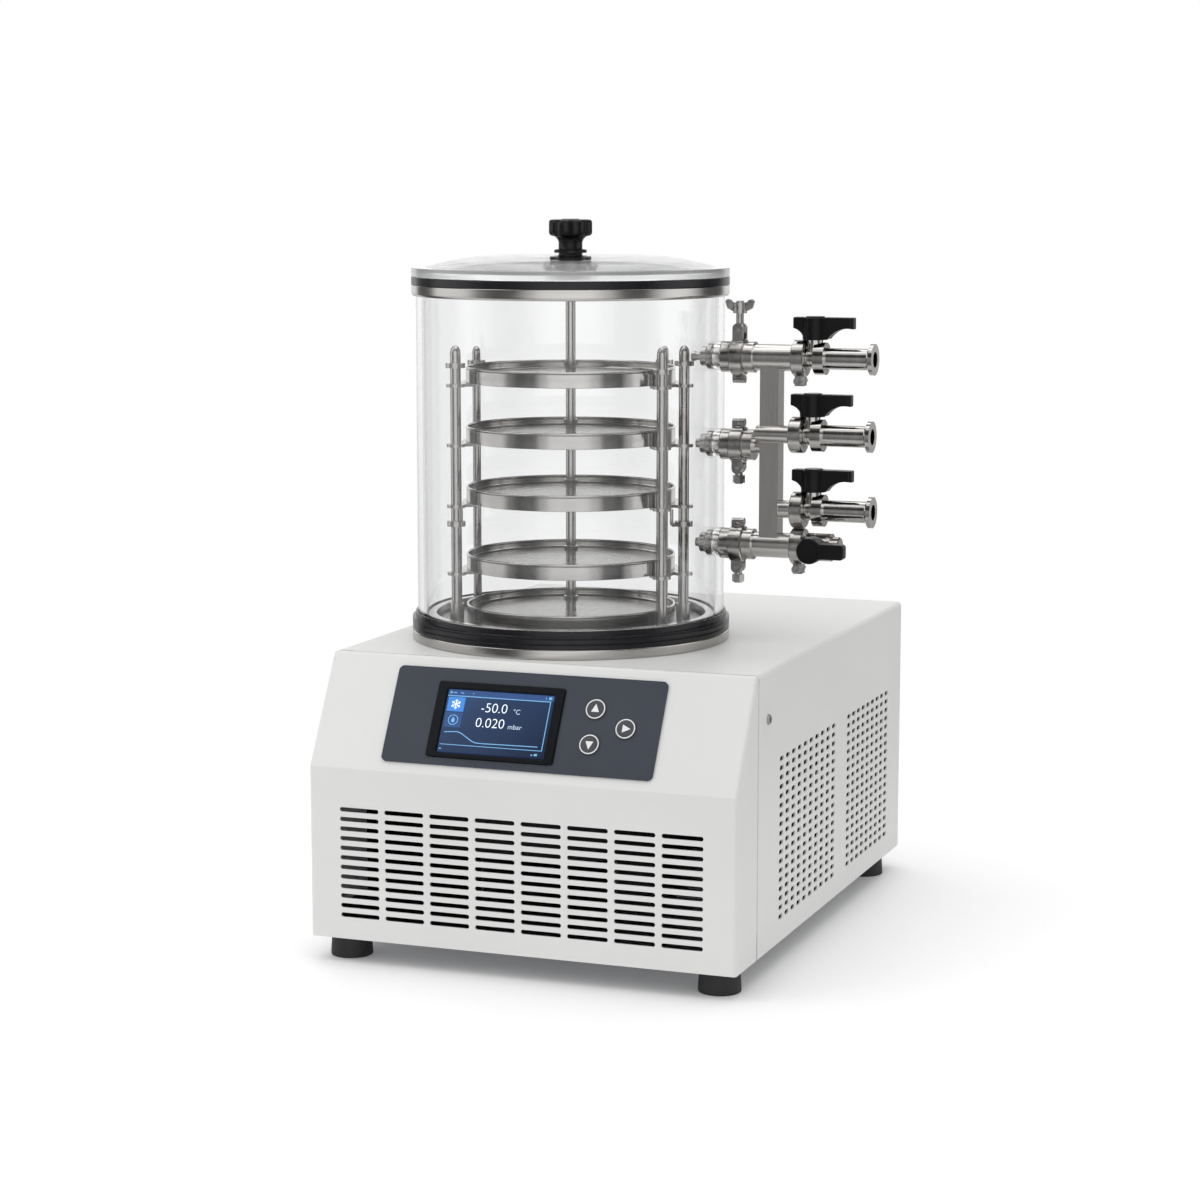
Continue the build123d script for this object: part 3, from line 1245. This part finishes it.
def ear_bolt():
    """Socket screw with its nut through a valve clamp's ears."""
    shank = rod_y(0, -11.0, 10.5, -EAR_BOLT, PIN_R)
    head = rod_y(0, -11.0, -5.5, -EAR_BOLT, 4.0)
    socket = rod_y(0, -12.0, -8.0, -EAR_BOLT, 1.8)
    nut = Pos(0, 7.5, -EAR_BOLT) * Rot(90, 0, 0) * extrude(RegularPolygon(4.4, 6), amount=2, both=True)
    return joined([shank, head, nut]) - socket


def swing_bolt(z, up, pin, end):
    """Eye bolt that stands on a fork's cross pin."""
    x = PORT_CLAMP_X
    eye = rod_y(x, CY - FORK_IN + 0.2, CY + FORK_IN - 0.2, z + up * pin, 4.6)
    z0, z1 = sorted((z + up * (pin + 2), z + up * end))
    bolt = eye + rod_z(x, CY, z0, z1, SWING_R)
    return bolt - rod_y(x, CY - 5, CY + 5, z + up * pin, PIN_R + 0.05)


def clamp_bolts():
    """Hinge pins, cross pins, swing bolts with two hex nuts, and the four ear bolts."""
    x = PORT_CLAMP_X
    half = PORT_CLAMP_W / 2
    pieces = []
    for number, (z, (up, reach, pin)) in enumerate(zip(PORT_Z, PORT_FORKS)):
        hinge_z = z - up * (CLAMP_R + HINGE_R + 0.1)
        pieces.append(rod_x(x - half + 0.3, x + half - 0.3, CY, hinge_z, PIN_R))
        pieces.append(rod_y(x, CY - FORK_OUT - 1, CY + FORK_OUT + 1, z + up * pin, PIN_R))
        end = SWING_ENDS[number]
        pieces.append(swing_bolt(z, up, pin, end))
        if number > 0:
            nut = extrude(RegularPolygon(6.0, 6), amount=3.5, both=True)
            nut -= Cylinder(SWING_R, 20)
            pieces.append(Pos(x, CY, z + up * (end - 4.5)) * nut)
    for y, z, turn in valve_places():
        pieces.append(Pos(VALVE_CLAMP_X, y, z) * Rot(turn, 0, 0) * ear_bolt())
    return Compound(children=pieces)


def wing_screw():
    """Wing nut on the top port clamp's swing bolt."""
    x = PORT_CLAMP_X
    hub = rod_z(x, CY, WING_LOW, WING_LOW + 10, 6.5)
    profile = Polyline(
        (x - 5, CY - 1.8, WING_LOW + 1), (x - 12, CY - 1.8, WING_LOW + 4.5),
        (x - 14, CY - 1.8, WING_LOW + 11), (x - 12, CY - 1.8, WING_TOP),
        (x - 9, CY - 1.8, WING_TOP - 0.6), (x - 5, CY - 1.8, WING_LOW + 8), close=True)
    wing = extrude(make_face(profile), amount=3.6, dir=(0, 1, 0))
    wing = fillet(wing.edges().filter_by(Axis.Y), 0.8)
    other = Pos(x, CY, 0) * Rot(0, 0, 180) * Pos(-x, -CY, 0) * wing
    nut = joined([hub, wing, other])
    return nut - rod_z(x, CY, WING_LOW - 1, WING_TOP + 5, SWING_R + 0.06)


# ---- valves ----
def valve_bores(x0, stem_x, x1):
    """Cutters for the passage and the plug's seat, about an axis along X."""
    return [
        rod_x(x0 - 1, stem_x - 7, 0, 0, OUTLET_BORE),
        rod_x(stem_x - 8, stem_x + 8, 0, 0, PLUG_BORE),
        rod_x(stem_x + 7, x1 + 1, 0, 0, OUTLET_BORE),
        rod_z(stem_x, 0, -PLUG_LOW, BONNET_TOP + 1, STEM_R + STEM_FIT),
    ]


def valve_neck(seal, end):
    """Outline (x, radius) of the inlet flange and the ribbed neck."""
    points = [(seal, 0)] + flange_lip(seal, 1) + [(seal + 5.0, NECK_R), (seal + 5.3, 8.6)]
    rib = (end - seal - 5.3) / 7
    for number in range(3):
        x = seal + 5.3 + rib * (2 * number + 1)
        points += [(x, 8.6), (x + 0.3, 9.5), (x + rib - 0.3, 9.5), (x + rib, 8.6)]
    return points + [(end, 8.6)]


def valve_body(number):
    """Straight plug valve with a ribbed neck, a disc and a flanged outlet tube."""
    seal = VALVE_CLAMP_X + RING_T / 2
    points = valve_neck(seal, DISC_X[0]) + [
        (DISC_X[0], DISC_R), (DISC_X[1], DISC_R), (DISC_X[1], OUTLET_R),
        (OUTLET_END - OUTLET_LIP - 1.5, OUTLET_R), (OUTLET_END - OUTLET_LIP, OUTLET_LIP_R - 1.5),
        (OUTLET_END - OUTLET_LIP + 1.0, OUTLET_LIP_R), (OUTLET_END, OUTLET_LIP_R), (OUTLET_END, 0),
    ]
    body = turned_x(points, 0, 0) + rod_z(STEM_X, 0, 0, BONNET_TOP, BONNET_R)
    body = body.cut(*valve_bores(seal, STEM_X, OUTLET_END))
    y, z, turn = valve_places()[number]
    return Pos(0, y, z) * body


def blank_valve_body():
    """Lowest valve: short, blanked off, its bonnet towards the front."""
    seal = VALVE_CLAMP_X + RING_T / 2
    points = valve_neck(seal, BARREL_X[0]) + [
        (BARREL_X[0], BARREL_R), (BARREL_X[1], BARREL_R), (BARREL_X[1], OUTLET_R),
        (BLANK_END - 1, OUTLET_R), (BLANK_END, OUTLET_R - 1), (BLANK_END, 0),
    ]
    body = turned_x(points, 0, 0) + rod_z(LOW_STEM_X, 0, 0, BONNET_TOP, BONNET_R)
    body = body.cut(*valve_bores(seal, LOW_STEM_X, BLANK_END - OUTLET_BORE - 1))
    return Pos(0, CY, VALVE_Z[3]) * Rot(90, 0, 0) * body


def lever(reach, tail):
    """Handle about an upright stem through the origin, its long arm along X."""
    low = BONNET_TOP + HUB_GAP
    arm = [
        Line((-tail, 0, LEVER_TOP), (reach, 0, LEVER_TOP)),
        Line((reach, 0, LEVER_TOP), (reach, 0, LEVER_LOW)),
        ThreePointArc((reach, 0, LEVER_LOW), (24, 0, LEVER_LOW - 1.0), (13.5, 0, low + 0.8)),
        Line((13.5, 0, low + 0.8), (-9, 0, low + 0.8)),
        ThreePointArc((-9, 0, low + 0.8), (-13, 0, LEVER_LOW - 2.5), (-tail, 0, LEVER_LOW + 0.5)),
        Line((-tail, 0, LEVER_LOW + 0.5), (-tail, 0, LEVER_TOP)),
    ]
    blade = Pos(0, -LEVER_W / 2, 0) * extrude(make_face(Wire(arm)), amount=LEVER_W, dir=(0, 1, 0))
    blade = fillet(blade.edges().filter_by(Axis.Z), 3.0)
    blade = fillet(blade.faces().sort_by(Axis.Z)[-1].edges(), 1.2)
    hub = rod_z(0, 0, low, LEVER_TOP, HUB_R_LEVER)
    hub = fillet(hub.edges().sort_by(Axis.Z)[-1], 1.2)
    cap = rod_z(0, 0, LEVER_TOP - 1, LEVER_TOP + 0.8, 8.5)
    stem = rod_z(0, 0, -PLUG_LOW + 0.3, low + 1, STEM_R)
    return joined([blade, hub, cap, stem]) - rod_x(-8, 8, 0, 0, PLUG_BORE)


def valve_handle(number):
    """Quarter-turn lever with its plug, drawn in the open position."""
    y, z, turn = valve_places()[number]
    return Pos(STEM_X, y, z) * lever(LEVER_REACH, LEVER_TAIL)


def blank_valve_handle():
    """The lowest valve's lever, its stem towards the front."""
    return Pos(LOW_STEM_X, CY, VALVE_Z[3]) * Rot(90, 0, 0) * lever(LOW_LEVER_REACH, LOW_LEVER_TAIL)


def build():
    """Every sub-part by name."""
    parts = {
        "base_pan": base_pan() + trap_stand(),
        "front_panel": front_panel(),
        "cabinet_cover": cabinet_cover(),
        "rear_panel": rear_panel(),
        "cover_screws": cover_screws(),
        "feet": feet(),
        "panel_plate": panel_plate(),
        "display_bezel": display_bezel(),
        "display_module": display_module(),
        "control_board": control_board(),
        "power_inlet": power_inlet(),
        "switch_housing": switch_housing(),
        "power_switch": power_switch(),
        "compressor": compressor(),
        "condenser": condenser(),
        "fan_shroud": fan_shroud(),
        "fan_motor": fan_motor(),
        "fan_rotor": fan_rotor(),
        "cold_trap": cold_trap(),
        "trap_coil": trap_coil(),
        "trap_insulation": trap_insulation(),
        "refrigerant_lines": refrigerant_lines(),
        "filter_drier": filter_drier(),
        "pump_port": pump_port(),
        "base_ring": base_ring(),
        "base_gasket": base_gasket(),
        "chamber_cylinder": chamber_cylinder(),
        "top_ring": top_ring(),
        "lid_gasket": lid_gasket(),
        "lid": lid(),
        "lid_gland": lid_gland(),
        "lid_knob": lid_knob(),
        "central_rod": central_rod(),
        "rack_plate": rack_plate(),
        "rack_posts": rack_posts(),
        "tray_ledges": tray_ledges(),
        "rack_collars": rack_collars(),
        "port_nipples": port_nipples(),
        "manifold_header": manifold_header(),
        "centring_rings": centring_rings(),
        "port_clamps": port_clamps(),
        "valve_clamps": valve_clamps(),
        "clamp_bolts": clamp_bolts(),
        "wing_screw": wing_screw(),
        "valve_body_4": blank_valve_body(),
        "valve_handle_4": blank_valve_handle(),
    }
    for name in BUTTONS:
        parts["button_" + name] = button(name)
    for number, rim in enumerate(TRAY_RIMS):
        parts[f"tray_{number + 1}"] = tray(rim)
    for number in range(3):
        parts[f"valve_body_{number + 1}"] = valve_body(number)
        parts[f"valve_handle_{number + 1}"] = valve_handle(number)
    return parts


os.makedirs(OUT_DIR, exist_ok=True)
for part_name, part_shape in build().items():
    save(part_name, part_shape)
